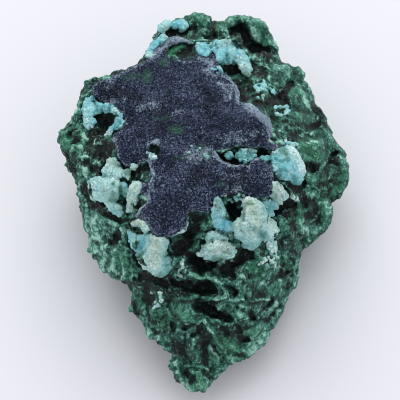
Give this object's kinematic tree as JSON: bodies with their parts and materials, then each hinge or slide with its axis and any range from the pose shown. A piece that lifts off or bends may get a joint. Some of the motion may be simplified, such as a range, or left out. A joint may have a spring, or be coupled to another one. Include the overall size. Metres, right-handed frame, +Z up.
{
  "type": "azurite malachite specimen",
  "caption": "Rough hand specimen of dark green malachite with a dusky azurite crust and pale blue-green chrysocolla lumps on its sloping display face.",
  "frame": {"origin": "middle of the bounding box, on the plane the specimen rests on", "axes": "+Z up, +Y from the low pointed end under the display face to the high back, +X to the right of the display face"},
  "size_m": [0.052, 0.0704, 0.0354],
  "materials": {
    "malachite": "rough, fibrous, dark green",
    "azurite": "fine velvety crystals, dusky blue",
    "chrysocolla": "matt, rounded, pale blue-green"
  },
  "bodies": {
    "root": {"specimen": "malachite"}
  },
  "joints": []
}
